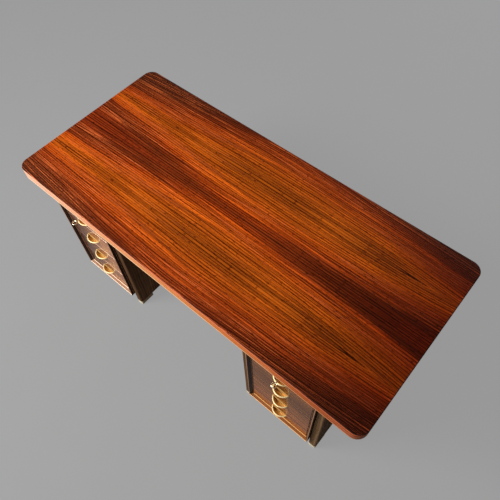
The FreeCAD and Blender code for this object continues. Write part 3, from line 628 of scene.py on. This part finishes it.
finishes = {
    "top": rosewood("rosewoodTop", topLook, topFigure),
    "edge": rosewood("rosewoodEdge", edgeLook, lippingFigure),
    "panelUpright": rosewood("rosewoodPanel", panelLook, boardFigure(2)),
    "panelAlongX": rosewood("rosewoodModesty", panelLook, boardFigure(0)),
    "shadedCaseUpright": rosewood("rosewoodCaseSideShaded", shadedUprightLook, boardFigure(2, caseEdgeHighlights)),
    "caseAlongX": rosewood("rosewoodCaseLevel", caseLook, boardFigure(0, caseEdgeHighlights)),
    "leftCaseAlongX": rosewood("rosewoodLeftCaseLevelLit", litLeftCaseLook, boardFigure(0, caseEdgeHighlights)),
    "front": rosewood("rosewoodFront", frontLook, boardFigure(0, frontArrisHighlights)),
    "leftFront": rosewood("rosewoodLeftFrontLit", leftFrontLook, boardFigure(0, frontArrisHighlights)),
    "innerAlongY": rosewood("drawerWood", innerLook, boardFigure(1)),
}
print("woods ready")


# brass and steel: clouded with tarnish and finely scuffed, with painted highlights on the rims of cups and
# the front ends of feet

def metal(name, look, paintedHighlight=None):
    material, tree, shader = newMaterial(name)
    x, y, z = places = objectPlace(tree)

    def cloud(scale, shift, detail):
        return grainNoise(tree, (times(tree, x, scale), times(tree, y, scale),
                                 timesPlus(tree, z, scale, shift)), detail)

    tarnish = cloud(look["cloudScale"], look["cloudShift"], look["cloudDetail"])
    tarnish = times(tree, spread(tree, tarnish, look["cloudFrom"], look["cloudTo"]), look["tarnish"])
    colour = blendColour(tree, tarnish, look["bright"], look["dull"])
    scuffs = cloud(look["cloudScale"] * look["scuffScale"], look["scuffShift"], look["scuffDetail"])
    rough = spread(tree, scuffs, look["scuffFrom"], look["scuffTo"],
                   look["rough"] - look["smoother"], look["rough"] + look["rougher"])
    if paintedHighlight:
        share = paintedHighlight(tree, look, places)
        colour = blendColour(tree, share, colour, look["metalHighlightTint"])
        rough = timesPlus(tree, share, look["metalHighlightRough"] - look["rough"], rough)
    tree.links.new(colour, shader.inputs["Base Color"])
    tree.links.new(rough, shader.inputs["Roughness"])
    shader.inputs["Metallic"].default_value = look["metallic"]
    addBump(tree, shader, scuffs, look["bump"], look["bumpDepth"])
    return material


def rimHighlight(tree, look, places):  # painted highlight on the flat rim of every cup
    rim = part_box("left_drawer_4_pull")[1].z
    halfPitch = (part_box("left_drawer_3_pull")[1].z - rim) / 2
    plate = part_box("left_drawer_4_pull")[1].y
    step = calc(tree, "WRAP", places[2], rim + halfPitch, rim - halfPitch)
    depth, core = look["metalHighlightDepth"], look["metalHighlightDepth"] * look["metalHighlightCore"]
    return times(tree, spread(tree, step, rim - depth, rim - core),
                 spread(tree, places[1], plate - look["plateFree"], plate - look["plateFull"]))


def footTipHighlight(tree, look, places):  # painted highlight on the front end of every front foot
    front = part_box("brass_feet")[0].y
    depth, core = look["metalHighlightDepth"], look["metalHighlightDepth"] * look["metalHighlightCore"]
    return spread(tree, places[1], front + depth, front + core)


metalLook = {
    "metallic": 1.0, "tarnish": 0.4, "cloudScale": 60.0, "cloudShift": 0.0, "cloudDetail": 3.0,
    "cloudFrom": 0.42, "cloudTo": 0.72,
    "scuffScale": 9.0, "scuffShift": 4.0, "scuffDetail": 4.0, "scuffFrom": 0.25, "scuffTo": 0.75,
    "smoother": 0.05, "rougher": 0.08, "bump": 0.02, "bumpDepth": 0.0002, "metalHighlightCore": 0.5,
}
cupLook = {
    **metalLook, "bright": paint(210, 168, 96), "dull": paint(188, 144, 76), "rough": 0.62, "metallic": 0.5,
    "metalHighlightTint": paint(252, 228, 172), "metalHighlightRough": 0.4, "metalHighlightDepth": 0.0026,
    "plateFree": 0.002, "plateFull": 0.004,  # the plate behind the cup gets no painted highlight
}
# darker, heavily clouded brass on the feet: painted shade
shadedFootLook = {
    **metalLook, "bright": paint(132, 102, 58), "dull": paint(66, 50, 30), "tarnish": 0.8,
    "rough": 0.3, "metallic": 0.5,
    "metalHighlightTint": paint(255, 240, 205), "metalHighlightRough": 0.3, "metalHighlightDepth": 0.006,
}
keyLook = {
    **metalLook, "bright": paint(250, 234, 200), "dull": paint(212, 182, 132), "cloudScale": 120.0,
    "rough": 0.24,
}
steelLook = {
    **metalLook, "bright": paint(188, 188, 190), "dull": paint(128, 126, 124), "tarnish": 0.7,
    "cloudScale": 80.0, "rough": 0.36,
}
finishes["cupBrass"] = metal("cupBrass", cupLook, rimHighlight)
finishes["shadedFootBrass"] = metal("shadedFootBrass", shadedFootLook, footTipHighlight)
finishes["keyBrass"] = metal("keyBrass", keyLook)
finishes["lockSteel"] = metal("lockSteel", steelLook)
print("metals ready")


# every CAD node takes its finish here

def finishFor(name):
    left = name.startswith("left")
    if name == "top_panel":
        return "top"
    if name == "top_edge_frame":
        return "edge"
    if name == "modesty_panel":
        return "panelAlongX"
    if name == "brass_feet":
        return "shadedFootBrass"
    if name.endswith("_front"):
        return "leftFront" if left else "front"
    if name.endswith("_pull"):
        return "cupBrass"
    if name.endswith(("_key", "_lock_bolt")):
        return "keyBrass"
    if name.endswith("_lock_case"):
        return "lockSteel"
    if name == "top_battens" or "_drawer_" in name:
        return "innerAlongY"
    if name.endswith(("_case_top", "_case_bottom")):
        return "leftCaseAlongX" if left else "caseAlongX"
    if name.endswith(("_case_outer_side", "_case_inner_side")):
        return "shadedCaseUpright"
    return "panelUpright"


for name, item in nodes.items():
    item.data.materials.clear()
    item.data.materials.append(finishes[finishFor(name)])
print("finishes on:", len(nodes))
